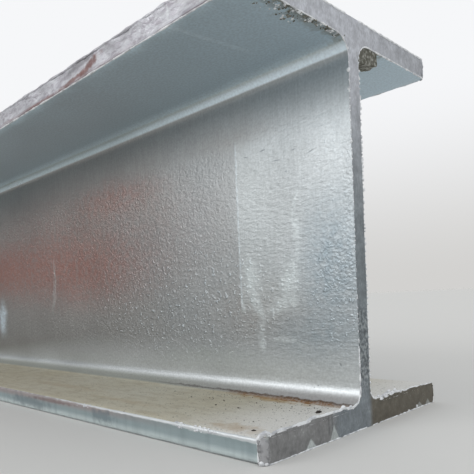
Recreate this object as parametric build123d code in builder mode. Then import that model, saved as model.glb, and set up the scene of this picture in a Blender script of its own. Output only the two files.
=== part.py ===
from build123d import *
import os

# Wide-flange steel beam, hot rolled in one piece, saw-cut to stock length and hot-dip galvanised.
# Millimetres. The origin is the middle of the footprint, on the underside of the bottom flange.
# +X runs along the beam, +Y across the flanges and +Z up.

# Rolled section
section_depth = 256.0
flange_width = 203.0
flange_thickness = 14.2
web_thickness = 12.0
root_radius = 12.0
toe_radius = 1.8

# Stock length, and how the sawn ends are dressed
beam_length = 6000.0
corner_chamfer = 4.0
burr_chamfer = 0.5

with BuildPart() as h_beam:
    # The rolls leave parallel flanges, a radius where each flange meets the web, and soft toes.
    with BuildSketch(Plane.YZ.offset(-beam_length / 2)) as section:
        with BuildLine():
            Polyline(
                (0, 0),
                (flange_width / 2, 0),
                (flange_width / 2, flange_thickness),
                (web_thickness / 2, flange_thickness),
                (web_thickness / 2, section_depth - flange_thickness),
                (flange_width / 2, section_depth - flange_thickness),
                (flange_width / 2, section_depth),
                (0, section_depth),
            )
            mirror(about=Plane.YZ)
        make_face()
        roots = section.vertices().filter_by_position(Axis.X, -web_thickness / 2, web_thickness / 2)
        fillet(roots, root_radius)
        tips = section.vertices().group_by(Axis.X)
        fillet(tips[0] + tips[-1], toe_radius)
    extrude(amount=beam_length)

    # Each corner of a sawn flange end is ground off, square to the flange.
    with BuildSketch(Plane.XY) as plan:
        Rectangle(beam_length, flange_width)
        chamfer(plan.vertices(), corner_chamfer)
    extrude(amount=section_depth, mode=Mode.INTERSECT)

    # The saw burr is broken all the way round both ends.
    sawn_ends = h_beam.faces().filter_by(Axis.X).group_by(Axis.X)
    chamfer((sawn_ends[0] + sawn_ends[-1]).edges(), burr_chamfer)

h_beam.part.label = "h_beam"

os.makedirs("parts", exist_ok=True)
export_step(h_beam.part, "parts/h_beam.step")
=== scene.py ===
import math
import random

import bmesh
import bpy
from mathutils import Matrix, Vector, noise


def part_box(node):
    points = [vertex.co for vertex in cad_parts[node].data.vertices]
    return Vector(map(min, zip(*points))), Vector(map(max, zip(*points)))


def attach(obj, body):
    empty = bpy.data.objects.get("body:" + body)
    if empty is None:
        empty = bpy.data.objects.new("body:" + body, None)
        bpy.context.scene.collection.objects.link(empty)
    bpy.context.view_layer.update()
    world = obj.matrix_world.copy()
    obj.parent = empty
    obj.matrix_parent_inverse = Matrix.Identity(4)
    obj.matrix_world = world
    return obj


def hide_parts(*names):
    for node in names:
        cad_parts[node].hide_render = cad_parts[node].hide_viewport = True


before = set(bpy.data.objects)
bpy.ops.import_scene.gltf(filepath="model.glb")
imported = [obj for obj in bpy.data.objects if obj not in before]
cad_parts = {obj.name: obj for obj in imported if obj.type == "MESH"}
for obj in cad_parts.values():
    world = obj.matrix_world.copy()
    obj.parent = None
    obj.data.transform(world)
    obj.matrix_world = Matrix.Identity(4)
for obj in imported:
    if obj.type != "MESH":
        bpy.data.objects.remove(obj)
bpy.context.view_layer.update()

# Studio
# A camera held close to the beam's near end, at about a third of its height, as the photograph was taken. A
# wide pale floor that melts into a pale backdrop, one broad soft light from the camera's side, and a dimmer
# stretch of backdrop beside the beam, so that the bare metal has something to reflect.
beam_low, beam_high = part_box("h_beam")
CAMERA_PLACE = Vector((0.1760, -0.3100, 0.0872))
CAMERA_HEADING = 46.62
CAMERA_PITCH = -2.10
CAMERA_ROLL = 2.74
PICTURE = 474
FOCAL_PIXELS = 542.0
CENTRE_PIXEL = (196.2, 318.3)
SENSOR = 36.0

camera_data = bpy.data.cameras.new("camera")
camera_data.sensor_fit = "HORIZONTAL"
camera_data.sensor_width = SENSOR
camera_data.lens = SENSOR * FOCAL_PIXELS / PICTURE
camera_data.shift_x = (PICTURE / 2 - CENTRE_PIXEL[0]) / PICTURE
camera_data.shift_y = (CENTRE_PIXEL[1] - PICTURE / 2) / PICTURE
camera_data.clip_start = 0.01
camera_data.clip_end = 200.0
camera = bpy.data.objects.new("camera", camera_data)
camera.location = CAMERA_PLACE + Vector((beam_high.x, 0, 0))
camera.rotation_euler = [math.radians(angle) for angle in (90 + CAMERA_PITCH, CAMERA_ROLL, CAMERA_HEADING)]
bpy.context.scene.collection.objects.link(camera)
bpy.context.scene.camera = camera
bpy.context.scene.view_settings.view_transform = "Standard"


def colour(code):
    """An sRGB hex colour as linear red, green, blue and alpha."""
    parts = [int(code[place:place + 2], 16) / 255 for place in (1, 3, 5)]
    return [part / 12.92 if part <= 0.04045 else ((part + 0.055) / 1.055) ** 2.4 for part in parts] + [1.0]


def feed(tree, node, sockets):
    """Sets a node's inputs, by name or in order, to values or links. A node stands for its first output."""
    for socket, value in sockets.items() if isinstance(sockets, dict) else enumerate(sockets):
        if isinstance(value, bpy.types.Node):
            value = value.outputs[0]
        if isinstance(value, bpy.types.NodeSocket):
            tree.links.new(value, node.inputs[socket])
        else:
            node.inputs[socket].default_value = value


def add(tree, kind, sockets=(), **settings):
    """A new shader node: settings are its properties, sockets are what to feed it."""
    made = tree.nodes.new("ShaderNode" + kind)
    for name, value in settings.items():
        setattr(made, name, value)
    feed(tree, made, sockets)
    return made


# A map range takes a value, the two levels it is read between and the two it gives. With this setting it
# eases in and out.
SMOOTH = {"interpolation_type": "SMOOTHSTEP"}

SKY_HIGH = colour("#F4F6F8")
SKY_LEVEL = colour("#B9BBBD")
DIM_SIDE = Vector((-0.80, -0.60, 0.0))
DIM_LEVEL = 0.40
BACKDROP_HIGH = colour("#F6F7F9")
BACKDROP_LOW = colour("#D2D1CF")
FLOOR_COLOUR = colour("#DCDBD8")
FLOOR_RADIUS = 30.0

world = bpy.data.worlds.new("pale_backdrop")
bpy.context.scene.world = world
world.use_nodes = True
sky = world.node_tree
sky.nodes.clear()
direction = add(sky, "TexCoord").outputs["Generated"]
height = add(sky, "SeparateXYZ", {0: direction})
rise = add(sky, "MapRange", (height.outputs["Z"], 0.0, 0.6), **SMOOTH)
pale = add(sky, "Mix", {"Factor": rise, 6: SKY_LEVEL, 7: SKY_HIGH}, data_type="RGBA")
aside = add(sky, "VectorMath", (direction, DIM_SIDE), operation="DOT_PRODUCT")
dim = add(sky, "MapRange", (aside.outputs["Value"], 0.2, 0.9, 1.0, DIM_LEVEL), **SMOOTH)
glow = add(sky, "Background", {"Color": pale.outputs[2], "Strength": dim})
climb = add(sky, "MapRange", (height.outputs["Z"], 0.0, 0.35), **SMOOTH)
shown = add(sky, "Mix", {"Factor": climb, 6: BACKDROP_LOW, 7: BACKDROP_HIGH}, data_type="RGBA")
backdrop = add(sky, "Background", {"Color": shown.outputs[2]})
seen = add(sky, "LightPath")
behind = add(sky, "MixShader", (seen.outputs["Is Camera Ray"], glow, backdrop))
add(sky, "OutputWorld", {"Surface": behind})

floor_mesh = bmesh.new()
bmesh.ops.create_circle(floor_mesh, cap_ends=True, segments=96, radius=FLOOR_RADIUS)
floor_data = bpy.data.meshes.new("floor")
floor_mesh.to_mesh(floor_data)
floor_mesh.free()
floor = bpy.data.objects.new("floor", floor_data)
bpy.context.scene.collection.objects.link(floor)

floor_paint = bpy.data.materials.new("pale_floor")
floor_paint.use_nodes = True
tree = floor_paint.node_tree
tree.nodes.clear()
place = add(tree, "TexCoord").outputs["Object"]
reach = add(tree, "VectorMath", {0: place}, operation="LENGTH")
fade = add(tree, "MapRange", (reach.outputs["Value"], 8.0, 24.0), **SMOOTH)
matt = add(tree, "BsdfDiffuse", {"Color": FLOOR_COLOUR})
clear = add(tree, "BsdfTransparent")
blend = add(tree, "MixShader", (fade, matt, clear))
add(tree, "OutputMaterial", {"Surface": blend})
floor_data.materials.append(floor_paint)

KEY_FROM = Vector((-0.42, -0.84, 0.38))
KEY_STRENGTH = 0.8
KEY_SPREAD = 40.0
key_data = bpy.data.lights.new("soft_key", "SUN")
key_data.energy = KEY_STRENGTH
key_data.angle = math.radians(KEY_SPREAD)
key = bpy.data.objects.new("soft_key", key_data)
key.rotation_euler = KEY_FROM.to_track_quat("Z", "Y").to_euler()
bpy.context.scene.collection.objects.link(key)

# Steel beam
# One hot-rolled wide-flange length, sawn square, its corners ground, then dipped whole in molten zinc. The
# zinc lies in faint waves on the broad faces and in lumps on the narrow flange edges, and it dips a little on
# the sawn ends. Places along the beam are taken from the near sawn end. Everything is in metres.
FLANGE = 0.0142
WEB = 0.012
ROOT = 0.012
TOE = 0.0018
CORNER = 0.004
ARRIS = 0.0004
SECTION_STEP = 0.010
FAR_STEP = 0.004
NEAR_STEP = 0.003
NEAR_REACH = 0.6
LONGEST_STEP = 0.06
STEP_GROWTH = 1.06
HAIR = 1e-6
ROOT_SIDES = 8
TOE_SIDES = 3
EDGE_LINES = 8
WAVE_HEIGHT = 0.00028
WAVE_LENGTH = 0.055
TOP_EDGE_LUMP = 0.0011
LOW_EDGE_LUMP = 0.0005
LUMP_LENGTH = 0.010
ROLL_DEPTH = 0.0008
ROLL_WIDTH = 0.0036
SAWN_DIP = 0.0004
SAWN_DIP_LENGTH = 0.024

beam_length, beam_width, beam_depth = beam_high - beam_low
half_length = beam_length / 2
half_width = beam_width / 2


def section_outline():
    """The rolled H outline at x = 0 as one flat face with round roots and toes."""
    shape = bmesh.new()
    side = [(half_width, 0), (half_width, FLANGE), (WEB / 2, FLANGE)]
    side += [(y, beam_depth - z) for y, z in reversed(side)]
    outline = side + [(-y, z) for y, z in reversed(side)]
    shape.faces.new([shape.verts.new((0, y, z)) for y, z in outline])
    roots = [vert for vert in shape.verts if abs(vert.co.y) < WEB]
    bmesh.ops.bevel(shape, geom=roots, offset=ROOT, offset_type="OFFSET", segments=ROOT_SIDES, profile=0.5,
                    affect="VERTICES", material=-1)
    toes = [vert for vert in shape.verts if abs(vert.co.y) > half_width - TOE / 2]
    bmesh.ops.bevel(shape, geom=toes, offset=TOE, offset_type="OFFSET", segments=TOE_SIDES, profile=0.5,
                    affect="VERTICES", material=-1)
    return shape


def everything(mesh):
    return mesh.verts[:] + mesh.edges[:] + mesh.faces[:]


def only(kind, items):
    return [item for item in items if isinstance(item, kind)]


def growing(length, first):
    """Steps that grow along a length, from the first one up to the longest."""
    steps = [first]
    while sum(steps) < length:
        steps.append(min(steps[-1] * STEP_GROWTH, LONGEST_STEP))
    scale = length / sum(steps)
    return [step * scale for step in steps]


def steps_along(far, near):
    """Steps down the whole beam: fine at the far end, long in the middle and finest over the near stretch."""
    middle = reversed(growing(half_length - NEAR_REACH, NEAR_STEP))
    return [*growing(half_length, far), *middle, *[near] * round(NEAR_REACH / near)]


def divided(low, high, step):
    """Places between two ends, about a step apart, without the ends."""
    count = max(1, round((high - low) / step))
    return [low + (high - low) * place / count for place in range(1, count)]


skin = section_outline()
for y in divided(-half_width, half_width, SECTION_STEP):
    bmesh.ops.bisect_plane(skin, geom=everything(skin), plane_co=(0, y, 0), plane_no=(0, 1, 0), dist=HAIR)
edge_lines = [FLANGE * line / (EDGE_LINES + 1) for line in range(1, EDGE_LINES + 1)]
for z in divided(0, beam_depth, SECTION_STEP) + edge_lines + [beam_depth - line for line in edge_lines]:
    bmesh.ops.bisect_plane(skin, geom=everything(skin), plane_co=(0, 0, z), plane_no=(0, 0, 1), dist=HAIR)

ring = [edge for edge in skin.edges if edge.is_boundary]
bmesh.ops.translate(skin, verts=skin.verts[:], vec=(beam_low.x, 0, 0))
far_cap = bmesh.ops.duplicate(skin, geom=skin.faces[:])["geom"]
bmesh.ops.translate(skin, verts=only(bmesh.types.BMVert, far_cap), vec=(beam_length, 0, 0))
for step in steps_along(FAR_STEP, NEAR_STEP):
    grown = bmesh.ops.extrude_edge_only(skin, edges=ring)["geom"]
    ring = only(bmesh.types.BMEdge, grown)
    bmesh.ops.translate(skin, verts=only(bmesh.types.BMVert, grown), vec=(step, 0, 0))
bmesh.ops.remove_doubles(skin, verts=skin.verts[:], dist=10 * HAIR)

for end in (1, -1):
    for side in (1, -1):
        near = [face for face in skin.faces if end * face.calc_center_median().x > half_length - 3 * CORNER
                and side * face.calc_center_median().y > half_width - 3 * CORNER]
        corner = list({part for face in near for part in (*face.verts, *face.edges, face)})
        cut = bmesh.ops.bisect_plane(skin, geom=corner, dist=HAIR, clear_outer=True,
                                     plane_co=(end * (half_length - CORNER), side * half_width, 0),
                                     plane_no=(end, side, 0))["geom_cut"]
        bmesh.ops.edgeloop_fill(skin, edges=only(bmesh.types.BMEdge, cut))
bmesh.ops.recalc_face_normals(skin, faces=skin.faces[:])
sawn = [edge for edge in skin.edges if sum(abs(face.normal.x) > 0.9 for face in edge.link_faces) == 1]
bmesh.ops.bevel(skin, geom=sawn, offset=ARRIS, offset_type="OFFSET", segments=2, profile=0.5, affect="EDGES",
                material=-1, clamp_overlap=True)


def edge_hollow(at):
    """How far a flange edge lies back between the thick rolls of zinc along its corners."""
    upper = beam_depth if at.z > beam_depth / 2 else FLANGE
    hollow = 1 - math.exp(-((upper - at.z) / ROLL_WIDTH) ** 2)
    if at.z > beam_depth / 2:
        hollow *= 1 - math.exp(-((at.z - beam_depth + FLANGE) / ROLL_WIDTH * 2) ** 2)
    return hollow


skin.normal_update()
for vert in skin.verts:
    at = vert.co.copy()
    if abs(at.x) > half_length - ARRIS / 2:
        push = SAWN_DIP * (noise.noise(at / SAWN_DIP_LENGTH) - 0.6)
    elif abs(at.y) > half_width - TOE:
        lump = TOP_EDGE_LUMP if at.z > beam_depth / 2 else LOW_EDGE_LUMP
        stretched = Vector((at.x * 0.6, at.y, at.z)) / LUMP_LENGTH
        push = lump * (0.6 * noise.noise(stretched) + 0.4 * noise.noise(stretched * 2.7) - 0.3)
        push -= ROLL_DEPTH * edge_hollow(at)
    else:
        push = WAVE_HEIGHT * noise.noise(at / WAVE_LENGTH)
    vert.co = at + vert.normal * push
    vert.co.x = min(max(vert.co.x, -half_length), half_length)
    vert.co.y = min(max(vert.co.y, -half_width), half_width)
    vert.co.z = min(max(vert.co.z, 0), beam_depth)

# The broken edges of the sawn ends stay crisp instead of shading into the faces beside them.
SHARP_FOLD = 0.35
for edge in skin.edges:
    at_end = min(abs(vert.co.x) for vert in edge.verts) > half_length - 2 * ARRIS
    if at_end and edge.calc_face_angle(0) > SHARP_FOLD:
        edge.smooth = False

FACES, EDGES, SAWN = 0, 1, 2
for face in skin.faces:
    face.smooth = True
    middle = face.calc_center_median()
    if abs(face.normal.x) > 0.6 and abs(middle.x) > half_length - CORNER:
        face.material_index = SAWN
    elif abs(face.normal.y) > 0.6 and abs(middle.y) > half_width - TOE:
        face.material_index = EDGES
    else:
        face.material_index = FACES


def new_paint(name):
    """A new material: its paint, node tree and shader, and the place on the beam that its patterns read."""
    paint = bpy.data.materials.new(name)
    paint.use_nodes = True
    tree = paint.node_tree
    place = add(tree, "TexCoord").outputs["Object"]
    return paint, tree, tree.nodes["Principled BSDF"], place


def blotches(tree, place, size, low, high, least=0.0, most=1.0, detail=3.0, rough=0.5):
    """Noise of about one size, as a number that runs from the least to the most between two of its levels."""
    noisy = add(tree, "TexNoise", {"Vector": place, "Scale": 1 / size, "Detail": detail, "Roughness": rough})
    return add(tree, "MapRange", (noisy, low, high, least, most))


def oval(tree, place, centre, size, turn=0.0, edge=0.4, rag=None):
    """A mask, 1 on an oval patch and 0 off it, placed from the beam's near end and turned about Y."""
    middle = (beam_high.x - centre[0], centre[1], centre[2])
    inside = add(tree, "Mapping", {"Vector": place, "Location": middle, "Rotation": (0, turn, 0),
                                   "Scale": size}, vector_type="TEXTURE")
    away = add(tree, "VectorMath", {0: inside}, operation="LENGTH").outputs["Value"]
    if rag:
        away = add(tree, "Math", (away, rag), operation="ADD")
    return add(tree, "MapRange", (away, 1.0, edge), **SMOOTH)


def layered(tree, under, over, *masks):
    """One colour laid over another where every mask lets it through."""
    amount = masks[0]
    for mask in masks[1:]:
        amount = add(tree, "Math", (amount, mask), operation="MULTIPLY")
    return add(tree, "Mix", {"Factor": amount, 6: under, 7: over}, data_type="RGBA").outputs[2]


def window(tree, value, low, high, soft):
    """A mask that is 1 while a value lies between two limits, with soft shoulders."""
    rise = add(tree, "MapRange", (value, low - soft, low), **SMOOTH)
    fall = add(tree, "MapRange", (value, high + soft, high), **SMOOTH)
    return add(tree, "Math", (rise, fall), operation="MULTIPLY")


ZINC_BRIGHT = colour("#D3D8DA")
PALE_ZINC_AND_HIGHLIGHT = colour("#E4F2FB")
FAR_ROOT_HIGHLIGHT = colour("#B6C4CA")
ZINC_WEB = colour("#B2B8BB")
ZINC_PAINTED_SHADE = colour("#9D9C9A")
ZINC_SHADE = colour("#C5D7E2")
ZINC_SMEAR = colour("#CBD2D3")
ZINC_BLUE = colour("#939FA6")
ZINC_GREEN = colour("#A3AC9E")
WARM_REFLECTION = colour("#A9786E")
DUST_TAN = colour("#D5CAAC")
DUST_GREY = colour("#CECDC2")
DUST_BROWN = colour("#A8997C")
DUST_PALE = colour("#EAE8E3")
DUST_AND_SHADE_NEAR = colour("#A9A7A6")
DUST_AND_SHADE_FAR = colour("#9B9D95")
DARK_OLIVE = colour("#7C7A6C")
RUST_LINE = colour("#82571F")
RUST_SOFT = colour("#AE8C54")
RUST_DARK = colour("#3E2F24")
SCAR_DARK = colour("#70777A")

# Sizes of the patterns in the skin.
CLOUD = 0.09
RAG = 0.006
GRAIN = 0.0016
BEND = 0.016
DRAINED = 0.0014
DROP_SPACING = 0.0032
SILT = 0.007
SPECK_SPACING = 0.0028
RUST_STREAK = 0.028
FLAT_PEEL = 0.0030
FINE_PEEL = 0.0026
END_PEEL = 0.0021
PATCH_DEPTH = 0.010

# Zones by their height: the dusty ledge, the low root, the top root and the underside of the top flange.
LEDGE = (0.0138, 0.0162)
LOW_ROOT = (0.0125, 0.0178)
TOP_ROOT = (0.2350, 0.2385)
UNDERSIDE = (0.2395, 0.2425)


def galvanised_zinc():
    """Hot-dip zinc on rolled steel: a bright grey metal, dull and smooth, with a fine orange-peel ripple."""
    paint, tree, shader, place = new_paint("galvanised_zinc")
    spot = add(tree, "SeparateXYZ", {0: place})
    x, y, z = spot.outputs
    from_end = add(tree, "Math", (beam_high.x, x), operation="SUBTRACT")
    aside = add(tree, "Math", {0: y}, operation="ABSOLUTE")

    # Clouds, ragged edges and grain are used all over the skin. The wavy place bends patches out of true.
    clouds = add(tree, "TexNoise", {"Vector": place, "Scale": 1 / CLOUD, "Detail": 4.0})
    rag = add(tree, "TexNoise", {"Vector": place, "Scale": 1 / RAG, "Detail": 3.0})
    ragged = add(tree, "MapRange", (rag, 0.3, 0.7, -0.35, 0.35))
    grain = add(tree, "TexNoise", {"Vector": place, "Scale": 1 / GRAIN, "Detail": 2.0})
    bend = add(tree, "TexNoise", {"Vector": place, "Scale": 1 / BEND, "Detail": 4.0}).outputs["Color"]
    wavy = add(tree, "VectorMath", (bend, (0.012, 0.0, 0.012), place), operation="MULTIPLY_ADD")
    wavy = add(tree, "VectorMath", (wavy, (0.006, 0.0, 0.006)), operation="SUBTRACT")

    # The web is painted darker away from the near end, a painted shade, and has drained in fine upright
    # streaks. The roots stay brighter.
    web_foot = add(tree, "MapRange", (from_end, 0.30, 0.52, 0.062, 0.038))
    above_foot = add(tree, "MapRange", (z, 0.020, web_foot), **SMOOTH)
    below_root = add(tree, "MapRange", (z, 0.2375, 0.2335), **SMOOTH)
    on_web = add(tree, "Math", (above_foot, below_root), operation="MULTIPLY")
    wander = add(tree, "Math", (clouds, 0.25, from_end), operation="MULTIPLY_ADD")
    painted_falloff = add(tree, "MapRange", (wander, 0.10, 0.38))
    web = layered(tree, ZINC_WEB, ZINC_PAINTED_SHADE, painted_falloff)
    upright = add(tree, "Mapping", {"Vector": place, "Scale": (1, 1, 0.07)})
    drained = blotches(tree, upright, DRAINED, 0.3, 0.7, 0.93, 1.06)
    web = add(tree, "VectorMath", {0: web, "Scale": drained}, operation="SCALE")

    # Broad patches on the near side of the web: from the end, height, half length, half height and strength.
    # The warm ones are a painted reddish reflection.
    PATCHES = (
        (WARM_REFLECTION, 0.380, 0.145, 0.330, 0.090, 0.45),
        (WARM_REFLECTION, 0.520, 0.135, 0.120, 0.045, 0.70),
        (WARM_REFLECTION, 0.430, 0.128, 0.240, 0.050, 0.60),
        (WARM_REFLECTION, 0.300, 0.116, 0.150, 0.050, 0.50),
        (WARM_REFLECTION, 0.255, 0.186, 0.100, 0.026, 0.45),
        # The two darker patches below are painted shade.
        (ZINC_PAINTED_SHADE, 0.085, 0.076, 0.070, 0.040, 0.95),
        (ZINC_PAINTED_SHADE, 0.100, 0.204, 0.060, 0.013, 0.50),
        (ZINC_GREEN, 0.130, 0.034, 0.110, 0.018, 0.60),
        (ZINC_BLUE, 0.018, 0.105, 0.036, 0.066, 0.95),
        (ZINC_BLUE, 0.030, 0.055, 0.060, 0.030, 0.60),
        (ZINC_BRIGHT, 0.014, 0.178, 0.044, 0.040, 0.42),
        (ZINC_SMEAR, 0.085, 0.150, 0.026, 0.050, 0.20),
        (ZINC_SMEAR, 0.084, 0.098, 0.012, 0.022, 0.70),
        (PALE_ZINC_AND_HIGHLIGHT, 0.516, 0.074, 0.017, 0.032, 1.00),
        (PALE_ZINC_AND_HIGHLIGHT, 0.519, 0.070, 0.012, 0.026, 1.00),
    )
    mottled = add(tree, "MapRange", (rag, 0.35, 0.62, 0.45))
    torn = add(tree, "MapRange", (rag, 0.42, 0.54, 0.35))
    for tone, far, high, half_long, half_high, strength in PATCHES:
        patch = oval(tree, wavy, (far, -WEB / 2, high), (half_long, PATCH_DEPTH, half_high), edge=0.0)
        web = layered(tree, web, tone, patch, mottled, strength)

    # Pale runs in the last zinc to drain, each from one place to another: from the end and height twice, half
    # width, strength. The first five wander down the middle of the fresh patch, the next seven run down its
    # far side and along its foot, and the last two are a lone streak further back.
    RUNS = (
        (0.0428, 0.1620, 0.0463, 0.1400, 0.0024, 0.45),
        (0.0463, 0.1415, 0.0422, 0.1230, 0.0040, 0.65),
        (0.0422, 0.1250, 0.0485, 0.0960, 0.0036, 0.55),
        (0.0500, 0.1040, 0.0515, 0.0800, 0.0120, 0.85),
        (0.0540, 0.0840, 0.0720, 0.0720, 0.0090, 0.70),
        (0.0900, 0.1180, 0.0850, 0.0900, 0.0070, 0.65),
        (0.0865, 0.0950, 0.0750, 0.0640, 0.0065, 0.75),
        (0.0760, 0.0670, 0.0770, 0.0480, 0.0045, 0.60),
        (0.0690, 0.0575, 0.0450, 0.0560, 0.0032, 1.00),
        (0.0745, 0.0545, 0.0755, 0.0480, 0.0042, 0.80),
        (0.0440, 0.0545, 0.0405, 0.0490, 0.0034, 0.60),
        (0.0975, 0.0830, 0.0940, 0.0760, 0.0026, 0.90),
        (0.3740, 0.1440, 0.3760, 0.0900, 0.0034, 0.60),
        (0.3790, 0.1250, 0.3800, 0.0700, 0.0040, 0.40),
    )
    for far, high, to_far, to_high, half_wide, strength in RUNS:
        rise, reach = to_high - high, far - to_far
        middle = ((far + to_far) / 2, -WEB / 2, (high + to_high) / 2)
        run = oval(tree, wavy, middle, (math.hypot(rise, reach) / 2 + half_wide, PATCH_DEPTH, half_wide),
                   turn=-math.atan2(rise, reach), edge=0.1)
        web = layered(tree, web, ZINC_SMEAR, run, torn, strength)
    fresh = add(tree, "MapRange", (from_end, 0.0975, 0.0960), **SMOOTH)
    thinning = add(tree, "MapRange", (from_end, 0.030, 0.085))
    tall = window(tree, z, 0.085, 0.190, 0.015)
    web = layered(tree, web, ZINC_SMEAR, fresh, thinning, tall, 0.30)
    web = layered(tree, web, PALE_ZINC_AND_HIGHLIGHT, window(tree, from_end, 0.0956, 0.0966, 0.0008), tall, torn, 0.24)

    # Frozen drops 1 to 2 mm across over the lower web and by the end: from the end, height, half length, half
    # height, strength.
    SPOTTY = (
        (0.170, 0.085, 0.170, 0.075, 1.00),
        (0.010, 0.165, 0.024, 0.046, 0.28),
        (0.014, 0.085, 0.034, 0.046, 0.80),
    )
    spotty = 0.0
    for far, high, half_long, half_high, strength in SPOTTY:
        patch = oval(tree, wavy, (far, -WEB / 2, high), (half_long, PATCH_DEPTH, half_high), edge=0.2)
        patch = add(tree, "Math", (patch, strength), operation="MULTIPLY")
        spotty = add(tree, "Math", (patch, spotty), operation="MAXIMUM")
    drops = add(tree, "TexNoise", {"Vector": place, "Scale": 1 / DROP_SPACING, "Detail": 2.0,
                                   "Roughness": 0.6})
    drop = add(tree, "MapRange", (drops, 0.54, 0.70), **SMOOTH)
    crowded = add(tree, "MapRange", (rag, 0.40, 0.56))
    dotted = add(tree, "Math", (spotty, crowded), operation="MULTIPLY")
    web = layered(tree, web, PALE_ZINC_AND_HIGHLIGHT, drop, dotted, 0.38)

    under = window(tree, z, *UNDERSIDE, 0.001)
    base = layered(tree, ZINC_BRIGHT, ZINC_SHADE, under)
    highlight_nearby = add(tree, "MapRange", (from_end, 0.24, 0.06))
    base = layered(tree, base, web, on_web)
    # The top root is painted a pale blue-white highlight, strongest near the end and dimmer further back.
    top_root = window(tree, z, *TOP_ROOT, 0.0016)
    base = layered(tree, base, layered(tree, FAR_ROOT_HIGHLIGHT, PALE_ZINC_AND_HIGHLIGHT, highlight_nearby), top_root)

    # A faint pale scratch crosses the underside of the top flange, and the underside is darker in a ragged
    # band along the sawn end.
    slant = add(tree, "Math", (y, 0.12, from_end), operation="MULTIPLY_ADD")
    scratch = window(tree, slant, 0.0448, 0.0466, 0.0018)
    base = layered(tree, base, PALE_ZINC_AND_HIGHLIGHT, under, scratch, torn, window(tree, y, -0.100, -0.050, 0.020), 0.40)
    reach = add(tree, "Math", (ragged, 0.018, from_end), operation="MULTIPLY_ADD")
    dark_band_by_end = window(tree, reach, -0.010, 0.002, 0.008)
    base = layered(tree, base, DARK_OLIVE, under, dark_band_by_end, window(tree, y, -0.082, 0.032, 0.012), torn, 0.9)

    # The lower half of the bottom root is painted a duller, darker grey, partly dust and partly painted shade
    # that ends the root's highlight higher up.
    dust_and_shade_tone = layered(tree, DUST_AND_SHADE_NEAR, DUST_AND_SHADE_FAR, add(tree, "MapRange", (from_end, 0.05, 0.20)))
    dust_and_shade = window(tree, z, 0.0130, 0.0178, 0.0058)
    base = layered(tree, base, dust_and_shade_tone, dust_and_shade, 0.9)

    # Dust lies on the bottom flange and thins towards the end, with a soft rust line where it meets the root.
    off_root = add(tree, "MapRange", (aside, 0.0120, 0.0150), **SMOOTH)
    ledge = add(tree, "Math", (window(tree, z, *LEDGE, 0.0008), off_root), operation="MULTIPLY")
    dust = layered(tree, DUST_TAN, DUST_GREY, clouds)
    along = add(tree, "Mapping", {"Vector": place, "Scale": (0.4, 1, 1)})
    silted = blotches(tree, along, SILT, 0.46, 0.64, detail=5.0, rough=0.6)
    dust = layered(tree, dust, DUST_BROWN, silted, 0.38)
    worn = add(tree, "MapRange", (from_end, 0.09, 0.005), **SMOOTH)
    dust = layered(tree, dust, DUST_PALE, worn)
    specks = add(tree, "TexVoronoi", {"Vector": place, "Scale": 1 / SPECK_SPACING})
    speck = add(tree, "MapRange", (specks, 0.28, 0.12), **SMOOTH)
    chosen = add(tree, "SeparateXYZ", {0: specks.outputs["Color"]})
    scarce = add(tree, "MapRange", (chosen, 0.62, 0.80))
    dust = layered(tree, dust, RUST_DARK, speck, scarce, 0.75)
    gritty = add(tree, "MapRange", (grain, 0.54, 0.66))
    dust = layered(tree, dust, DARK_OLIVE, gritty, 0.38)

    # Rust washed over the dust: from the end, sideways, half length, half width, strength.
    STAINS = (
        (0.0300, -0.0900, 0.0300, 0.0110, 0.45),
        (0.1500, -0.0780, 0.0600, 0.0070, 0.25),
        (0.2600, -0.0640, 0.0900, 0.0090, 0.22),
        (0.0600, -0.0170, 0.0420, 0.0070, 0.75),
    )
    for far, sideways, half_long, half_wide, strength in STAINS:
        stain = oval(tree, place, (far, sideways, FLANGE), (half_long, half_wide, PATCH_DEPTH), edge=0.0,
                     rag=ragged)
        dust = layered(tree, dust, RUST_SOFT, stain, strength)
    base = layered(tree, base, dust, ledge, 0.94)
    drift = add(tree, "Math", (ragged, 0.0020, aside), operation="MULTIPLY_ADD")
    rusty = blotches(tree, place, RUST_STREAK, 0.25, 0.55)
    freckled = add(tree, "MapRange", (grain, 0.35, 0.6, 0.5))
    low_root = window(tree, z, *LOW_ROOT, 0.0010)
    rust_line = window(tree, drift, 0.0118, 0.0150, 0.0014)
    rust = add(tree, "Math", (rust_line, window(tree, from_end, 0.026, 0.085, 0.040)), operation="MULTIPLY")
    rust = add(tree, "Math", (rust, low_root), operation="MULTIPLY")
    base = layered(tree, base, RUST_LINE, rust, rusty, freckled, 0.95)
    traced = window(tree, from_end, 0.010, 0.140, 0.080)
    dark_line = window(tree, drift, 0.0112, 0.0120, 0.0007)
    base = layered(tree, base, RUST_DARK, dark_line, low_root, freckled, traced, 0.65)

    # Short scars and pits near the end, the last two on the low root: from the end, height, half length, half
    # height, tilt.
    SCARS = (
        (0.0440, 0.1840, 0.0040, 0.0009, -0.12),
        (0.0300, 0.1800, 0.0045, 0.0008, -0.30),
        (0.0700, 0.1895, 0.0040, 0.0006, -0.10),
        (0.0860, 0.1880, 0.0035, 0.0006, 0.20),
        (0.0590, 0.1800, 0.0050, 0.0007, 0.05),
        (0.0506, 0.1710, 0.0016, 0.0016, 0.0),
        (0.0210, 0.1020, 0.0008, 0.0010, 0.0),
        (0.0136, 0.0400, 0.0010, 0.0022, -0.5),
        (0.0344, 0.0238, 0.0010, 0.0008, 0.0),
        (0.0314, 0.0253, 0.0010, 0.0008, 0.0),
    )
    for far, high, half_long, half_high, tilt in SCARS:
        scar = oval(tree, place, (far, -WEB / 2, high), (half_long, PATCH_DEPTH, half_high), turn=tilt,
                    edge=0.0, rag=ragged)
        base = layered(tree, base, SCAR_DARK, scar, 0.7)

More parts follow.
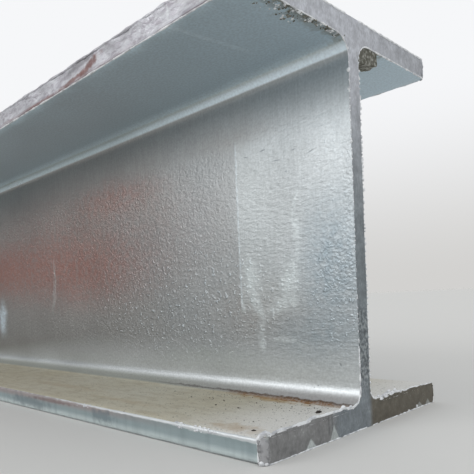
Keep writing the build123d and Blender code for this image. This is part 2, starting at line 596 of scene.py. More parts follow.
    # Grain and clouds lighten and darken the whole skin a little.
    tone = add(tree, "MapRange", (grain, 0.3, 0.7, 0.88, 1.06))
    cloud_tone = add(tree, "MapRange", (clouds, 0.3, 0.7, 0.94, 1.04))
    both = add(tree, "Math", (tone, cloud_tone), operation="MULTIPLY")
    base = add(tree, "VectorMath", {0: base, "Scale": both}, operation="SCALE")

    bare = add(tree, "Math", (under, -0.45, 1.0), operation="MULTIPLY_ADD")
    covered = add(tree, "Math", (ledge, rust), operation="MAXIMUM")
    dust_and_shade_dulled = add(tree, "Math", (dust_and_shade, 0.85), operation="MULTIPLY")
    covered = add(tree, "Math", (covered, dust_and_shade_dulled), operation="MAXIMUM")
    metal = add(tree, "Math", (covered, -0.85, bare), operation="MULTIPLY_ADD")
    rough = add(tree, "MapRange", (clouds, 0.3, 0.7, 0.34, 0.44))
    rough = add(tree, "Math", (covered, 0.35, rough), operation="MULTIPLY_ADD")
    rough = add(tree, "Math", (under, 0.12, rough), operation="MULTIPLY_ADD")
    rough = add(tree, "Math", (top_root, -0.10, rough), operation="MULTIPLY_ADD")

    # Orange peel 2 to 3 mm across: drawn out along the beam on the fresh patch, finer beyond it, lumpier by
    # the end, with raised drops over the lower web. It fades under the top root and over the bottom one.
    flat_way = add(tree, "Mapping", {"Vector": place, "Rotation": (0, 0.12, 0), "Scale": (0.5, 1, 1.2)})
    flat_peel = add(tree, "TexNoise", {"Vector": flat_way, "Scale": 1 / FLAT_PEEL, "Detail": 3.0,
                                       "Roughness": 0.65})
    fine_peel = add(tree, "TexNoise", {"Vector": place, "Scale": 1 / FINE_PEEL, "Detail": 3.0,
                                       "Roughness": 0.65})
    lumps = add(tree, "TexNoise", {"Vector": place, "Scale": 1 / END_PEEL, "Detail": 2.0})
    bold_lumps = add(tree, "Math", (lumps, 1.15), operation="MULTIPLY")
    by_end = oval(tree, wavy, (0.008, -WEB / 2, 0.105), (0.040, PATCH_DEPTH, 0.062), edge=0.1)
    by_edge = oval(tree, wavy, (0, -WEB / 2, 0.150), (0.014, PATCH_DEPTH, 0.080), edge=0.3)
    by_end = add(tree, "Math", (by_end, by_edge), operation="MAXIMUM")
    peel = add(tree, "Mix", {0: fresh, 2: fine_peel, 3: flat_peel})
    peel = add(tree, "Mix", {0: by_end, 2: peel, 3: bold_lumps})
    peel = add(tree, "Math", (drop, dotted, peel), operation="MULTIPLY_ADD")
    calm = add(tree, "MapRange", (z, 0.180, 0.215, 1.0, 0.15), **SMOOTH)
    still = add(tree, "MapRange", (z, 0.060, 0.035, 1.0, 0.4), **SMOOTH)
    lively = add(tree, "Math", (calm, still), operation="MULTIPLY")
    deep = add(tree, "MapRange", (from_end, 0.10, 0.40, 0.00030, 0.00070))
    bump = add(tree, "Bump", {"Strength": lively, "Distance": deep, "Height": peel})
    feed(tree, shader, {"Base Color": base, "Metallic": metal, "Roughness": rough, "Normal": bump})
    return paint


EDGE_PALE = colour("#D8D9DE")
EDGE_VIOLET = colour("#BAB7BF")
EDGE_TEAL = colour("#ABBABD")
EDGE_PINK = colour("#B7AEAE")
EDGE_FOOT_LIGHT = colour("#E2ECEC")
EDGE_SLATE = colour("#7A868E")
EDGE_DULL = colour("#8F8D92")
EDGE_WHITE_AND_HIGHLIGHT = colour("#E4E8EA")
EDGE_RUST = colour("#84605A")
EDGE_DARK = colour("#5B4644")
EDGE_PATCH = 0.007
EDGE_DRIP = 0.006
EDGE_RAG = 0.005
CRINKLE = 0.0028


def edge_zinc():
    """Zinc run together on the flange edges: lumpier and paler than the faces, rusty where it is thin."""
    paint, tree, shader, place = new_paint("lumpy_zinc")
    spot = add(tree, "SeparateXYZ", {0: place})
    x, z = spot.outputs["X"], spot.outputs["Z"]
    from_end = add(tree, "Math", (beam_high.x, x), operation="SUBTRACT")
    streaky = add(tree, "Mapping", {"Vector": place, "Scale": (0.25, 1, 1)})
    patches = add(tree, "TexNoise", {"Vector": streaky, "Scale": 1 / EDGE_PATCH, "Detail": 4.0})
    upright = add(tree, "Mapping", {"Vector": place, "Scale": (1, 1, 0.12)})
    ragged = blotches(tree, place, EDGE_RAG, 0.3, 0.7, -0.3, 0.3)
    drawn = add(tree, "Mapping", {"Vector": place, "Scale": (0.35, 1, 1)})
    crinkle = add(tree, "TexNoise", {"Vector": drawn, "Scale": 1 / CRINKLE, "Detail": 5.0, "Roughness": 0.7,
                                     "Distortion": 0.6})

    # The bottom edge: teal and palest at the foot, that paleness a painted light, and pinkish under its pale
    # rim further back. The rim is white zinc with a painted highlight on the rounded top edge, and it thins
    # away from the near end.
    top = window(tree, z, 0.2, 0.3, 0.01)
    upper = add(tree, "MapRange", (z, 0.0070, 0.0115), **SMOOTH)
    lit_foot = add(tree, "MapRange", (z, 0.0065, 0.0020), **SMOOTH)
    back = add(tree, "MapRange", (from_end, 0.06, 0.16))
    low = layered(tree, EDGE_TEAL, EDGE_PINK, upper, back)
    low = layered(tree, low, EDGE_FOOT_LIGHT, lit_foot, 0.8)
    dripping = blotches(tree, upright, EDGE_DRIP, 0.48, 0.66, most=0.22)
    low = layered(tree, low, EDGE_SLATE, dripping)
    thinner = add(tree, "MapRange", (from_end, 0.0, 0.25, 0.0, -0.0028))
    rim_height = add(tree, "Math", (ragged, 0.0012, z), operation="MULTIPLY_ADD")
    rim_height = add(tree, "Math", (rim_height, thinner), operation="ADD")
    rim = window(tree, rim_height, 0.0115, 0.0180, 0.0009)

    # The top edge: pale crinkled zinc with violet hollows.
    hollow = add(tree, "MapRange", (crinkle, 0.44, 0.60))
    crease = add(tree, "MapRange", (crinkle, 0.58, 0.68))
    crinkled = layered(tree, EDGE_PALE, EDGE_VIOLET, hollow)
    crinkled = layered(tree, crinkled, EDGE_DARK, crease, 0.22)
    dull = add(tree, "MapRange", (patches, 0.45, 0.65, 0.0, 0.7))
    crinkled = layered(tree, crinkled, EDGE_DULL, dull, 0.6)
    base = layered(tree, low, crinkled, top)

    # Rust, dirt and bright zinc on the near side, the low bright mark partly a painted highlight: colour,
    # from the end, height, half length, half height, tilt, strength.
    MARKS = (
        (EDGE_DULL, 0.1520, 0.2530, 0.0260, 0.0026, -0.10, 0.70),
        (EDGE_RUST, 0.1420, 0.2482, 0.0180, 0.0040, -0.28, 0.85),
        (EDGE_RUST, 0.1640, 0.2452, 0.0220, 0.0024, -0.10, 0.75),
        (EDGE_RUST, 0.2100, 0.2440, 0.0360, 0.0018, 0.0, 0.65),
        (EDGE_SLATE, 0.1480, 0.0080, 0.0200, 0.0056, 0.0, 0.55),
        (EDGE_SLATE, 0.2600, 0.0064, 0.0480, 0.0056, 0.0, 0.50),
        (EDGE_RUST, 0.2200, 0.0108, 0.0450, 0.0018, 0.0, 0.40),
        (EDGE_WHITE_AND_HIGHLIGHT, 0.0520, 0.0128, 0.0200, 0.0026, 0.0, 0.80),
        (EDGE_WHITE_AND_HIGHLIGHT, 0.0580, 0.2500, 0.0012, 0.0060, 0.0, 0.45),
    )
    for tone, out, up, half_long, half_high, tilt, strength in MARKS:
        mark = oval(tree, place, (out, -half_width, up), (half_long, PATCH_DEPTH, half_high), turn=tilt,
                    rag=ragged)
        base = layered(tree, base, tone, mark, strength)
    base = layered(tree, base, EDGE_WHITE_AND_HIGHLIGHT, rim, 0.9)

    # A thin dirty seam runs along the foot of the top edge.
    seam_low = beam_depth - FLANGE + 0.0014
    broken = add(tree, "MapRange", (patches, 0.35, 0.55, 0.3))
    rusty_seam = window(tree, z, seam_low, seam_low + 0.0020, 0.0012)
    dark_seam = window(tree, z, seam_low, seam_low + 0.0004, 0.0005)
    base = layered(tree, base, EDGE_RUST, rusty_seam, broken, back, 0.35)
    base = layered(tree, base, EDGE_DARK, dark_seam, broken, 0.55)
    rough = add(tree, "MapRange", (patches, 0.0, 1.0, 0.30, 0.55))
    lumpy = add(tree, "Math", (top, 0.6, 0.25), operation="MULTIPLY_ADD")
    bump = add(tree, "Bump", {"Strength": lumpy, "Distance": 0.0008, "Height": crinkle})
    feed(tree, shader, {"Base Color": base, "Metallic": 0.75, "Roughness": rough, "Normal": bump})
    return paint


SAWN_TOP_PAINTED_LIGHT = colour("#C6C8CE")
SAWN_TOP_FAR_PAINTED_LIGHT = colour("#B3B5BA")
SAWN_MIDDLE = colour("#878E92")
SAWN_LOW = colour("#919191")
SAWN_BLUE = colour("#87939B")
SAWN_WARM = colour("#706B60")
SAWN_SMEAR = colour("#D0D6D5")
SAWN_PIT = colour("#50565A")
SAWN_BLOTCH = 0.008
SAWN_GRAIN = 0.0013
PIT_SPACING = 0.0024
FLECK_SPACING = 0.0026


def sawn_zinc():
    """Zinc on the sawn ends: dull and matt over the saw marks, pale at the top as painted light, greyer and
    browner near the ground.
    """
    paint, tree, shader, place = new_paint("dull_end_zinc")
    spot = add(tree, "SeparateXYZ", {0: place})
    y, z = spot.outputs["Y"], spot.outputs["Z"]
    blotch = add(tree, "TexNoise", {"Vector": place, "Scale": 1 / SAWN_BLOTCH, "Detail": 5.0,
                                    "Roughness": 0.65})
    sawn_way = add(tree, "Mapping", {"Vector": place, "Scale": (1, 1, 0.65)})
    grain = add(tree, "TexNoise", {"Vector": sawn_way, "Scale": 1 / SAWN_GRAIN, "Detail": 3.0})
    rag = add(tree, "MapRange", (grain, 0.3, 0.7, -0.3, 0.3))
    # The ends are painted paler towards the top: painted light, as if from the sky above.
    up = add(tree, "MapRange", (z, 0.11, 0.245), **SMOOTH)
    down = add(tree, "MapRange", (z, 0.05, 0.02), **SMOOTH)
    far = add(tree, "MapRange", (y, 0.003, 0.009), **SMOOTH)
    top_far = add(tree, "MapRange", (y, 0.0, 0.08), **SMOOTH)
    base = layered(tree, SAWN_MIDDLE, layered(tree, SAWN_TOP_PAINTED_LIGHT, SAWN_TOP_FAR_PAINTED_LIGHT, top_far), up)
    base = layered(tree, base, SAWN_LOW, down)
    base = layered(tree, base, SAWN_BLUE, down, window(tree, y, -0.030, 0.004, 0.012), 0.6)
    base = layered(tree, base, SAWN_WARM, down, far)

    # The ground corners on the near side are paler.
    ground = add(tree, "MapRange", (y, -half_width + CORNER + 0.0004, -half_width + CORNER))
    base = layered(tree, base, SAWN_SMEAR, ground, 0.5)

    # Pale smears where zinc ran off the bottom edge, each a little peak on a broad foot: sideways, half
    # width, height, strength.
    SMEARS = (
        (-0.0605, 0.0062, 0.0066, 0.95),
        (-0.0372, 0.0056, 0.0098, 0.85),
        (0.0750, 0.0070, 0.0050, 0.45),
        (0.0890, 0.0050, 0.0050, 0.40),
    )
    for sideways, half_wide, tall, strength in SMEARS:
        shifted = add(tree, "Math", (y, sideways), operation="SUBTRACT")
        spread = add(tree, "Math", {0: shifted}, operation="ABSOLUTE")
        spread = add(tree, "Math", (z, half_wide / tall, spread), operation="MULTIPLY_ADD")
        spread = add(tree, "Math", (rag, 0.0015, spread), operation="MULTIPLY_ADD")
        smear = add(tree, "MapRange", (spread, half_wide, half_wide - 0.0012))
        base = layered(tree, base, SAWN_SMEAR, smear, strength)

    # The foot of the web's end is pocked with dark pits and pale crumbs.
    aside = add(tree, "Math", {0: y}, operation="ABSOLUTE")
    pits = add(tree, "TexNoise", {"Vector": place, "Scale": 1 / PIT_SPACING, "Detail": 3.0})
    pitted = add(tree, "MapRange", (pits, 0.50, 0.58))
    crumbs = add(tree, "MapRange", (pits, 0.46, 0.40))
    low_web = window(tree, z, 0.034, 0.070, 0.014)
    web_foot = add(tree, "Math", (low_web, window(tree, aside, 0.0, 0.0062, 0.0010)), operation="MULTIPLY")
    base = layered(tree, base, SAWN_PIT, pitted, web_foot, 0.60)
    base = layered(tree, base, SAWN_SMEAR, crumbs, web_foot, 0.35)

    # Two dark streaks run down the near half of the flange, and pale flecks crowd together all over the end.
    for sideways, low_end, high_end in ((-0.0425, 0.0060, 0.0150), (-0.0390, 0.0080, 0.0150)):
        streak = window(tree, y, sideways - 0.0003, sideways + 0.0003, 0.0006)
        base = layered(tree, base, SAWN_PIT, streak, window(tree, z, low_end, high_end, 0.0030), 0.45)
    flecks = add(tree, "TexVoronoi", {"Vector": place, "Scale": 1 / FLECK_SPACING})
    fleck = add(tree, "MapRange", (flecks, 0.30, 0.10))
    crowded = add(tree, "MapRange", (blotch, 0.52, 0.66))
    base = layered(tree, base, SAWN_SMEAR, fleck, crowded, 0.35)
    tone = add(tree, "MapRange", (blotch, 0.3, 0.7, 0.74, 1.20))
    fine = add(tree, "MapRange", (grain, 0.3, 0.7, 0.88, 1.12))
    both = add(tree, "Math", (tone, fine), operation="MULTIPLY")
    base = add(tree, "VectorMath", {0: base, "Scale": both}, operation="SCALE")
    bump = add(tree, "Bump", {"Strength": 0.5, "Distance": 0.0003, "Height": blotch})
    feed(tree, shader, {"Base Color": base, "Metallic": 0.55, "Roughness": 0.58, "Normal": bump})
    return paint


def finished(shape, name, *paints):
    """A finished piece of the beam from a bmesh, in its materials, riding on the steel."""
    mesh = bpy.data.meshes.new(name)
    shape.to_mesh(mesh)
    shape.free()
    for paint in paints:
        mesh.materials.append(paint)
    piece = bpy.data.objects.new(name, mesh)
    bpy.context.scene.collection.objects.link(piece)
    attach(piece, "root")
    return piece


end_paint = sawn_zinc()
edge_paint = edge_zinc()
zinc_skin = finished(skin, "zinc_skin", galvanised_zinc(), edge_paint, end_paint)
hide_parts("h_beam")

# Zinc rolls along the flange edges
# Where the molten zinc drained along the top flange it froze into a thin lumpy roll on both edges of each
# side, for the whole length. Here and there it crusted over the upper edge of the bottom flange.
ROLL_INSET = 0.0007
ROLL_FAR_STEP = 0.006
ROLL_TURNS = 1
ROLL_SWELL = 0.9
PROUD = 0.0004
ROLL_LUMP = 0.00020
ROLL_LUMP_LENGTH = 0.0022


def bead(points, radii, turns=ROLL_TURNS, cyclic=False):
    """A round bead of zinc through some points, with its own radius at each, as a mesh."""
    line = bpy.data.curves.new("bead", "CURVE")
    line.dimensions = "3D"
    line.bevel_depth = 1.0
    line.bevel_resolution = turns
    line.use_fill_caps = not cyclic
    spline = line.splines.new("POLY")
    spline.points.add(len(points) - 1)
    spline.use_cyclic_u = cyclic
    for point, at, radius in zip(spline.points, points, radii):
        point.co = (*at, 1.0)
        point.radius = radius
    holder = bpy.data.objects.new("bead", line)
    mesh = bpy.data.meshes.new_from_object(holder)
    bpy.data.objects.remove(holder)
    bpy.data.curves.remove(line)
    return mesh


def drop(shape, at, sizes, rounds=8, rings=5):
    """One frozen drop: a ball with its own three half sizes."""
    placed = Matrix.LocRotScale(Vector(at), None, Vector(sizes))
    bmesh.ops.create_uvsphere(shape, u_segments=rounds, v_segments=rings, radius=1.0, matrix=placed)


def roughened(shape, height, length):
    """Zinc made lumpy, and held inside the beam's own box but for a hair."""
    bmesh.ops.recalc_face_normals(shape, faces=shape.faces[:])
    shape.normal_update()
    for vert in shape.verts:
        vert.co += vert.normal * height * noise.noise(vert.co / length)
        vert.co.x = min(max(vert.co.x, -half_length - PROUD), half_length + PROUD)
        vert.co.y = min(max(vert.co.y, -half_width - PROUD), half_width + PROUD)
        vert.co.z = min(max(vert.co.z, 0), beam_depth + PROUD)
    for face in shape.faces:
        face.smooth = True
    return shape


def run_zinc(name, bright, dull, patch):
    """Zinc that drained last: smooth and almost white where it faces the light, with duller patches. Its near
    white is partly a painted glint.
    """
    paint, tree, shader, place = new_paint(name)
    base = layered(tree, bright, dull, blotches(tree, place, patch, 0.45, 0.65))
    feed(tree, shader, {"Base Color": base, "Metallic": 0.20, "Roughness": 0.32})
    return paint


roll_places = [beam_low.x + CORNER]
for step in steps_along(ROLL_FAR_STEP, NEAR_STEP / 2)[1:-2]:
    roll_places.append(roll_places[-1] + step)

# Crusty spots on the bottom flange: side, from the near end, spread along the edge, number of drops. A
# drop's size is the smallest plus a random share of the rest, and it hangs over by up to the overhang.
CRUSTY = ((-1, 0.044, 0.010, 26), (-1, 0.065, 0.005, 16), (-1, 0.170, 0.012, 8), (-1, 1.310, 0.030, 20),
          (1, 0.110, 0.020, 20), (1, 2.270, 0.030, 20), (1, 4.820, 0.030, 20))
CRUST_SMALLEST = 0.0003
CRUST_REST = 0.0005
CRUST_INSET = 0.0009
CRUST_OVERHANG = 0.0028
chance = random.Random(4)
rolls = bmesh.new()
for side, far, spread, count in CRUSTY:
    for number in range(count):
        x = half_length - far + spread * (chance.random() + chance.random() - 1)
        down = chance.random() ** 2
        size = CRUST_SMALLEST + CRUST_REST * chance.random() ** 2
        lie = (x, side * (half_width - CRUST_INSET * (1 - down)), FLANGE - CRUST_OVERHANG * down)
        drop(rolls, lie, (size * 1.6, size, size))
for side in (1, -1):
    # Height of the flange edge, which way the flange lies from it, and the roll's mean radius.
    for z, inward, radius in ((beam_depth - FLANGE, 1, 0.0005), (beam_depth, -1, 0.0008)):
        points = []
        radii = []
        for x in roll_places:
            swell = noise.noise(Vector((x / 0.009, 7 * side, z * 40)))
            lift = 0.0003 * noise.noise(Vector((x / 0.02, 3 * side, z * 70)))
            points.append((x, side * (half_width - ROLL_INSET), z + inward * ROLL_INSET + lift))
            radii.append(radius * (1.0 + ROLL_SWELL * swell))
        rolls.from_mesh(bead(points, radii))

# The rolls along the topmost edge are as lumpy as the flange edge they lie on, and all others are run zinc.
# The run zinc is almost white, partly its own pale colour and partly a painted glint of the sky.
white_run_and_glint_paint = run_zinc("run_zinc", colour("#F6F8FA"), colour("#C3C5C9"), 0.005)
for face in rolls.faces:
    face.material_index = 1 if face.calc_center_median().z > beam_depth - FLANGE / 2 else 0
finished(roughened(rolls, ROLL_LUMP, ROLL_LUMP_LENGTH), "flange_edge_rolls", white_run_and_glint_paint, edge_paint)

# Zinc beads around the sawn ends
# Zinc hangs back on the sharp edges of a sawn end: a broken thin rim all the way round, and drops a few
# millimetres apart up both sides of the web and wherever the last zinc ran off.
RIM_STEP = 0.0010
RIM = 0.00045
THINNEST = 0.00005
DROP_GAP = 0.0046
NEAR_BEAD_TOP = 0.052
LIP_COVERS = 0.0035


def along_outline(step):
    """Points round the H outline about a step apart, each with its outward direction."""
    shape = section_outline()
    shape.faces.ensure_lookup_table()
    corners = [vert.co.copy() for vert in shape.faces[0].verts]
    shape.free()
    found = []
    for start, end in zip(corners, corners[1:] + corners[:1]):
        span = end - start
        outward = Vector((0, span.z, -span.y)).normalized()
        count = max(1, round(span.length / step))
        for place in range(count):
            found.append((start + span * place / count, outward))
    return found


# The biggest drops on the near end: sideways, height, half sizes sideways and upwards.
BIG_DROPS = (
    (-0.0570, 0.0174, 0.0030, 0.0010), (-0.0262, 0.0176, 0.0018, 0.0012), (-0.0180, 0.0168, 0.0015, 0.0009),
    (0.0200, 0.0155, 0.0030, 0.0009), (0.0262, 0.0160, 0.0032, 0.0007), (0.0335, 0.0165, 0.0036, 0.0005),
    (0.0580, 0.0009, 0.0012, 0.0007), (0.0708, 0.0020, 0.0013, 0.0010), (0.0300, 0.0192, 0.0020, 0.0008),
    (0.0385, 0.0186, 0.0018, 0.0008), (0.0165, 0.0178, 0.0016, 0.0008), (-0.0060, 0.2226, 0.0006, 0.0013),
    (-0.0061, 0.2115, 0.0006, 0.0012), (-0.0061, 0.1791, 0.0006, 0.0010), (0.0064, 0.2087, 0.0007, 0.0010),
    (0.0066, 0.2016, 0.0009, 0.0013), (0.0064, 0.1806, 0.0008, 0.0013), (0.0064, 0.1770, 0.0007, 0.0010),
    (0.0064, 0.1698, 0.0008, 0.0014), (0.0066, 0.1652, 0.0009, 0.0012), (0.0064, 0.1570, 0.0009, 0.0010),
    (0.0067, 0.1508, 0.0011, 0.0013), (0.0062, 0.1267, 0.0007, 0.0009), (0.0062, 0.0874, 0.0007, 0.0009),
    (-0.0640, 0.0004, 0.0020, 0.0006), (-0.0340, 0.0004, 0.0022, 0.0006),
)
outline = along_outline(RIM_STEP)
beads = bmesh.new()
for sideways, high, half_wide, half_high in BIG_DROPS:
    lie = (half_length - 0.4 * half_high, sideways, high)
    drop(beads, lie, (half_high, half_wide, half_high), rounds=12, rings=8)
for end in (1, -1):
    for side in (1, -1):
        z = FLANGE + ROOT * 0.6
        while z < beam_depth - FLANGE - ROOT * 0.5:
            thick = 0.5 + 0.5 * noise.noise(Vector((z / 0.030, 3 * side, end)))
            size = 0.0002 + 0.0004 * thick + 0.0003 * chance.random() ** 2
            size *= 1.2 if side > 0 else 0.8
            lie = (end * (half_length - 0.5 * size), side * (WEB / 2 + 0.3 * size), z)
            drop(beads, lie, (size * 0.9, size, size * (1.0 + chance.random())))
            z += DROP_GAP * (0.5 + 0.9 * chance.random())
for end in (1, -1):
    points = []
    radii = []
    for number, (at, outward) in enumerate(outline):
        swell = noise.noise(Vector((number * RIM_STEP / 0.004, 11 * end, 0)))
        broad = noise.noise(Vector((number * RIM_STEP / 0.025, 5 * end, 9)))
        radius = RIM * (1.0 + 0.9 * swell + 0.5 * broad)
        radius *= 1.4 if at.z > beam_depth - TOE or abs(at.y) > half_width - TOE else 1.0
        if abs(at.y) < WEB / 2 + 0.001 and not (at.y < 0 and at.z < NEAR_BEAD_TOP):
            radius = RIM * 1.6 * swell
        elif FLANGE - 10 * HAIR < at.z < FLANGE + LIP_COVERS:
            radius = 0
        back = max(0, abs(at.y) - (half_width - CORNER))
        rim = at - outward * RIM * 0.8
        rim.x = end * (half_length - back - RIM * 0.8)
        points.append(rim)
        radii.append(max(radius, THINNEST))
    beads.from_mesh(bead(points, radii, cyclic=True))
finished(roughened(beads, ROLL_LUMP, ROLL_LUMP_LENGTH), "sawn_end_beads", white_run_and_glint_paint)

# Lips on the ends of the bottom flange
# The last zinc stood up along the top edge of each sawn flange end and froze as a wavy lip, flush with the
# sawn face on one side and sloping back on the other. Its heights are given across the flange, sideways then
# up, in millimetres.
LIP_STEP = 0.0010
LIP_SLOPE = 0.6
LIP_RIM = 0.0010
LIP_BAND = 0.0016
LIP_TURNS = 12
FAR_BAND_END = 0.048
LIP_BACK = 0.00015
NEAR_LIP = ((-97.5, 2.4), (-95, 2.3), (-91, 2.8), (-86, 3.0), (-78, 2.7), (-71, 2.9), (-64, 2.8),
            (-61, 3.4), (-58.5, 4.1), (-54, 3.8), (-50, 3.5), (-44, 3.4), (-38, 3.3), (-30, 3.1),
            (-26.5, 3.8), (-22, 3.0), (-17, 2.6), (-12, 1.6), (-9, 0.9))
FAR_LIP = ((8.5, 0.8), (11, 1.8), (14, 3.3), (16, 3.8), (21, 3.4), (28.5, 4.6), (30.3, 5.0), (33, 3.8),
           (38, 4.2), (44, 3.5), (54, 2.5), (64, 2.9), (75, 2.6), (86, 2.1), (97.5, 1.6))


def lip_height(y, heights):
    """How high the lip stands at a place across the flange, in metres."""
    millimetres = y * 1000
    for (low, rise_low), (high, rise_high) in zip(heights, heights[1:]):
        if low <= millimetres <= high:
            share = (millimetres - low) / (high - low)
            return (rise_low + (rise_high - rise_low) * share) / 1000
    return heights[-1][1] / 1000


def ledge_height(y):
    """Height of the bottom flange's upper side, root and all, at a place across it."""
    into_root = max(0, WEB / 2 + ROOT - abs(y))
    return FLANGE + ROOT - math.sqrt(ROOT ** 2 - into_root ** 2)


lips = bmesh.new()
for end in (1, -1):
    for heights in (NEAR_LIP, FAR_LIP):
        low, high = heights[0][0] / 1000, heights[-1][0] / 1000
        places = [low] + divided(low, high, LIP_STEP) + [high]
        rises = [lip_height(y, heights) + 0.0003 * noise.noise(Vector((y / 0.004, 0, end))) for y in places]
        points = [(end * (half_length - 0.35 * rise), y, ledge_height(y) - 0.0002)
                  for y, rise in zip(places, rises)]
        lips.from_mesh(bead(points, rises, turns=LIP_TURNS))
for vert in lips.verts:
    end = 1 if vert.co.x > 0 else -1
    flush = half_length - (LIP_BACK if vert.co.z > FLANGE - LIP_RIM / 2 else LIP_RIM)
    vert.co.x = end * min(flush, half_length + (abs(vert.co.x) - half_length) * LIP_SLOPE)
roughened(lips, height=0.0003, length=0.0030)

# A bright band of run zinc, its white partly a painted glint, runs along the top of each lip, and below it
# the face is as dull as the sawn end.
for face in lips.faces:
    middle = face.calc_center_median()
    rise = lip_height(middle.y, NEAR_LIP if middle.y < 0 else FAR_LIP)
    band = LIP_BAND * (1 + 0.4 * noise.noise(middle / 0.006))
    if middle.y > FAR_BAND_END:
        band *= 0.6
    below = middle.z < ledge_height(middle.y) + rise - band
    face.material_index = 1 if below and abs(middle.x) > half_length - LIP_RIM else 0
finished(lips, "bottom_flange_lips", white_run_and_glint_paint, end_paint)

# Scabs on the ground corners
# Zinc piled up in rough scabs on the small faces where the corners of the flange ends were ground away.
# Ragged beads run up both borders of each scab, and two drops hang at the foot of the lower ones.
SCAB_ROUNDS = 20
SCAB_RINGS = 14
SCAB_THICK = {-1: 0.0011, 1: 0.0012}
SCAB_STEP = 0.0009
BORDER = 0.0005
BORDER_INSET = 0.0004

# The drops at the foot: back from the end, up, and half size.
FEET = ((0.0030, 0.0014, 0.0015), (0.0012, 0.0010, 0.0012))

# The bead that climbs over the corner on the -Y side: back from the end, in from the edge, up, and radius.
PILE = (
    (0.0052, 0.0008, 0.0132, 0.0009),
    (0.0042, 0.0010, 0.0142, 0.0011),
    (0.0032, 0.0014, 0.0156, 0.0013),
    (0.0022, 0.0024, 0.0166, 0.0014),
    (0.0014, 0.0036, 0.0168, 0.0014),
    (0.0014, 0.0054, 0.0160, 0.0013),
)

scabs = bmesh.new()
for end in (1, -1):
    for side in (1, -1):
        for inset, high, size in FEET:
            at = (end * (half_length - inset), side * (half_width - CORNER + inset), high)
            drop(scabs, at, (size, size, size * 0.9), rounds=12, rings=8)
    points = [(end * (half_length - back), across - half_width, high) for back, across, high, radius in PILE]
    scabs.from_mesh(bead(points, [radius for *place, radius in PILE], turns=3))

# The drops and the climbing bead are bright run zinc, and the scabs on the +Y side are dull.
for face in scabs.faces:
    face.material_index = 1
for end in (1, -1):
    for side in (1, -1):
        for low in (0, beam_depth - FLANGE):
            middle = (end * (half_length - CORNER / 2), side * (half_width - CORNER / 2), low + FLANGE / 2)
            facing = Matrix.Rotation(math.atan2(side, end), 3, "Z")
            scale = Vector((SCAB_THICK[side], CORNER * 0.74, FLANGE * 0.55))
            placed = Matrix.LocRotScale(Vector(middle), facing, scale)
            bmesh.ops.create_uvsphere(scabs, u_segments=SCAB_ROUNDS, v_segments=SCAB_RINGS, radius=1.0,
                                      matrix=placed)
            heights = divided(low, low + FLANGE, SCAB_STEP)
            for along, across in ((BORDER_INSET, CORNER), (CORNER, BORDER_INSET)):
                points = [(end * (half_length - along), side * (half_width - across), z) for z in heights]
                swells = [noise.noise(Vector((z / 0.003, 900 * along, side))) for z in heights]
                scabs.from_mesh(bead(points, [BORDER * (1 + 1.2 * swell) for swell in swells]))
roughened(scabs, height=0.0008, length=0.0024)
for face in scabs.faces:
    if face.material_index == 0 and face.calc_center_median().y > 0:
        face.material_index = 2
scab_paint = run_zinc("scabby_zinc", colour("#ACACAE"), colour("#757577"), 0.0030)
finished(scabs, "corner_scabs", scab_paint, white_run_and_glint_paint, end_paint)

# Dross under the near end of the top flange
# Crusts of dull grey ash and frozen zinc left in the corner where the sawn end met the skimmed bath: a strip
# of lumps under the near half of the flange and a crust in the root behind the web.
DROSS_PATCH = 0.006
DROSS_GRAIN = 0.0022
DROSS_LUMPS = 240
DROSS_CUTS = 22
STRIP_START = -0.086
STRIP_RUN = 0.078
STRIP_NARROWS = -0.048
STRIP_WIDE = 0.0110
STRIP_NARROW = 0.0040
ROOT_CRUST_PLACE = (0.0050, 0.0185, 0.2378)
ROOT_CRUST_SIZE = (0.0090, 0.0240, 0.0115)
ROOT_CRUST_TILT = 0.10
ROOT_CRUST_LUMP = 0.0016
ROOT_CRUST_LUMP_LENGTH = 0.009
ROOT_CRUST_SEED = 42
DROSS_LIGHT = colour("#A3A39B")
DROSS_DARK = colour("#5F5E53")


def dross():
    """Bath dross: a rough, matt mixture of zinc and ash, pale lumps in dull olive grey."""
    paint, tree, shader, place = new_paint("dross")
    lumpy = add(tree, "TexNoise", {"Vector": place, "Scale": 1 / DROSS_GRAIN, "Detail": 4.0})
    pale = add(tree, "MapRange", (lumpy, 0.46, 0.62))
    base = layered(tree, DROSS_DARK, DROSS_LIGHT, pale)
    bump = add(tree, "Bump", {"Strength": 0.7, "Distance": 0.0005, "Height": lumpy})
    feed(tree, shader, {"Base Color": base, "Metallic": 0.25, "Roughness": 0.65, "Normal": bump})
    return paint


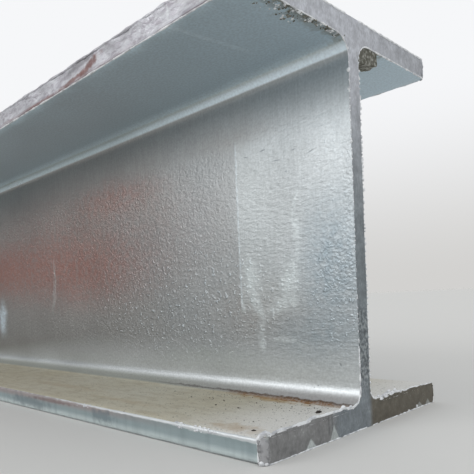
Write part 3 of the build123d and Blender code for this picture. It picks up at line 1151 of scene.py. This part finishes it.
crust = bmesh.new()
for number in range(DROSS_LUMPS):
    y = STRIP_START + STRIP_RUN * chance.random()
    thick = 0.0002 + 0.0006 * chance.random() ** 2
    far = 0.0006 + (STRIP_WIDE if y < STRIP_NARROWS else STRIP_NARROW) * chance.random() ** 1.5
    drop(crust, (half_length - far, y, beam_depth - FLANGE), (thick * 1.2, thick * 1.4, thick * 0.9))
for face in crust.faces:
    face.material_index = 1 if noise.noise(face.calc_center_median() / DROSS_PATCH) > 0.1 else 0
far, sideways, high = ROOT_CRUST_PLACE
placed = Matrix.LocRotScale(Vector((half_length - far, sideways, high)),
                            Matrix.Rotation(ROOT_CRUST_TILT, 3, "X"), Vector(ROOT_CRUST_SIZE))
block = bmesh.ops.create_cube(crust, size=1.0, matrix=placed)["verts"]
block_edges = list({edge for vert in block for edge in vert.link_edges})
bmesh.ops.subdivide_edges(crust, edges=block_edges, cuts=DROSS_CUTS, use_grid_fill=True)

# The noise that pushes the crust out of shape is seeded, so that it gives the same lumps each run.
noise.seed_set(ROOT_CRUST_SEED)
for vert in crust.verts:
    if vert.co.y > 0:
        vert.co += ROOT_CRUST_LUMP * noise.noise_vector(vert.co / ROOT_CRUST_LUMP_LENGTH)
        vert.co.x = min(vert.co.x, half_length - 0.0008)
roughened(crust, height=0.0005, length=0.0014)
finished(crust, "dross_crust", dross(), white_run_and_glint_paint)

# Grit on the bottom flange
# Flakes of rust scale and burnt zinc that fell on the flange and stuck in the dust, a few as big as a lentil.
GRIT_COUNT = 260
GRIT_SMALLEST = 0.00018
GRIT_REST = 0.0003
GRIT_DARK = colour("#2E2620")

grit_paint, tree, shader, place = new_paint("rust_scale")
feed(tree, shader, {"Base Color": GRIT_DARK, "Roughness": 0.8})

# The ones that stand out, from the end, sideways and radius.
FLAKES = ((0.0163, -0.0902, 0.0014), (0.0144, -0.0313, 0.0019), (0.0137, -0.0336, 0.0014),
          (0.0300, -0.0745, 0.0005), (0.0640, -0.0500, 0.0008), (0.0837, -0.0510, 0.0008),
          (0.1200, -0.0400, 0.0007), (0.1500, -0.0300, 0.0008))
grit = bmesh.new()
for far, sideways, radius in FLAKES:
    drop(grit, (half_length - far, sideways, FLANGE + 0.0001), (radius, radius, radius * 0.4))
for number in range(GRIT_COUNT):
    far = 0.012 + 0.30 * chance.random() ** 1.5
    sideways = -half_width + 0.004 + 0.080 * chance.random()
    if number % 2:
        far, sideways = 0.015 + 0.110 * chance.random(), -0.014 - 0.030 * chance.random() ** 1.5
    radius = GRIT_SMALLEST + GRIT_REST * chance.random() ** 3
    drop(grit, (half_length - far, sideways, FLANGE), (radius, radius, radius * 0.6), rounds=6, rings=4)
finished(roughened(grit, height=0.0002, length=0.0010), "ledge_grit", grit_paint)
